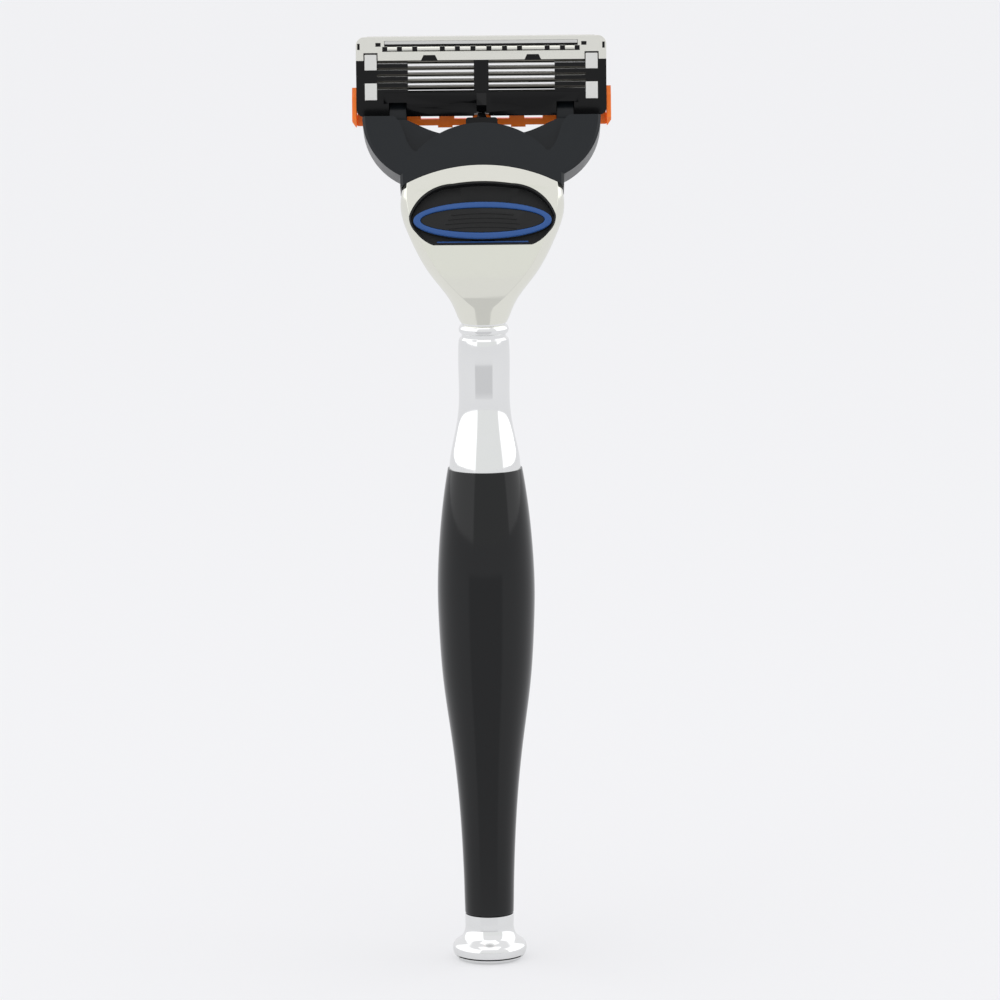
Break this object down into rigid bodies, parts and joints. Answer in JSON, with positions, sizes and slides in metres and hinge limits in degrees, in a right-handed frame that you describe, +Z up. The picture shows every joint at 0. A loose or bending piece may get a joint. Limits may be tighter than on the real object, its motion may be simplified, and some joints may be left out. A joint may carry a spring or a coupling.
{
  "type": "cartridge razor",
  "caption": "Wet-shaving razor with a slim weighted handle, a flat-backed metal head, a release button and a click-off pivoting cartridge of sprung blades.",
  "frame": {"origin": "middle of the foot's underside, where the razor stands", "axes": "+Z up the handle, +X along the blades, +Y the side the blades face"},
  "size_m": [0.0424, 0.0222, 0.1524],
  "materials": {
    "black_housing": "gloss",
    "yoke_grey": "matte",
    "blade_steel": "polished",
    "trimmer_steel": "satin",
    "clip_metal": "satin",
    "guard_orange": "gloss",
    "fin_rubber": "matte",
    "strip_green": "matte",
    "chrome": "mirror",
    "grip_black": "high gloss",
    "button_black": "matte",
    "button_blue": "satin",
    "inner_grey": "matte",
    "core_zinc": "cast",
    "rod_steel": "turned",
    "pad_rubber": "matte"
  },
  "bodies": {
    "handle": {"head_shell": "chrome", "docking_block": "inner_grey", "block_pin": "rod_steel", "recess_liner": "button_black", "lip_inlay": "button_blue", "neck_ring": "chrome", "ferrule": "chrome", "grip": "grip_black", "grip_core": "core_zinc", "tie_rod": "rod_steel", "rod_nut": "rod_steel", "foot_washer": "rod_steel", "foot": "chrome", "foot_pad": "pad_rubber", "plunger_spring": "rod_steel", "return_spring": "rod_steel"},
    "connector": {"yoke": "yoke_grey"},
    "cartridge": {"blade_housing": "black_housing", "trimmer_plate": "trimmer_steel", "trimmer_blade": "blade_steel", "clip_left": "clip_metal", "clip_right": "clip_metal", "guard_frame": "guard_orange", "guard_fins": "fin_rubber", "lubricating_strip": "strip_green"},
    "push_pin": {"plunger": "button_black"},
    "release": {"release_button": "button_black", "button_band": "button_blue", "ejector": "inner_grey"},
    "floating_blade_1": {"blade_1": "blade_steel", "blade_support_1": "blade_steel"},
    "floating_blade_2": {"blade_2": "blade_steel", "blade_support_2": "blade_steel"},
    "floating_blade_3": {"blade_3": "blade_steel", "blade_support_3": "blade_steel"},
    "floating_blade_4": {"blade_4": "blade_steel", "blade_support_4": "blade_steel"},
    "floating_blade_5": {"blade_5": "blade_steel", "blade_support_5": "blade_steel"}
  },
  "joints": [
    {"name": "cartridge_dock", "type": "slide", "parent": "handle", "child": "connector", "axis": [0, 0.342, 0.9397], "range_m": [0, 0.016]},
    {"name": "cartridge_pivot", "type": "hinge", "parent": "connector", "child": "cartridge", "pos_m": [0, 0.01252, 0.13855], "axis": [1, 0, 0], "range_deg": [0, 45]},
    {"name": "plunger_slide", "type": "slide", "parent": "handle", "child": "push_pin", "axis": [0, 0.342, 0.9397], "range_m": [-0.00393, 0], "stiffness_N_per_m": 120, "springref_m": 0.002, "deforming": ["plunger_spring"]},
    {"name": "release_slide", "type": "slide", "parent": "handle", "child": "release", "axis": [0, 0.342, 0.9397], "range_m": [0, 0.0014], "stiffness_N_per_m": 120, "springref_m": -0.001, "deforming": ["return_spring"]},
    {"name": "blade_1_float", "type": "slide", "parent": "cartridge", "child": "floating_blade_1", "axis": [0, -1, 0], "range_m": [0, 0.00025], "stiffness_N_per_m": 60, "springref_m": -0.0005},
    {"name": "blade_2_float", "type": "slide", "parent": "cartridge", "child": "floating_blade_2", "axis": [0, -1, 0], "range_m": [0, 0.00025], "stiffness_N_per_m": 60, "springref_m": -0.0005},
    {"name": "blade_3_float", "type": "slide", "parent": "cartridge", "child": "floating_blade_3", "axis": [0, -1, 0], "range_m": [0, 0.00025], "stiffness_N_per_m": 60, "springref_m": -0.0005},
    {"name": "blade_4_float", "type": "slide", "parent": "cartridge", "child": "floating_blade_4", "axis": [0, -1, 0], "range_m": [0, 0.00025], "stiffness_N_per_m": 60, "springref_m": -0.0005},
    {"name": "blade_5_float", "type": "slide", "parent": "cartridge", "child": "floating_blade_5", "axis": [0, -1, 0], "range_m": [0, 0.00025], "stiffness_N_per_m": 60, "springref_m": -0.0005}
  ],
  "couplings": [
    {"joint": "cartridge_pivot", "follows": "plunger_slide", "rad_per_m": -200}
  ]
}
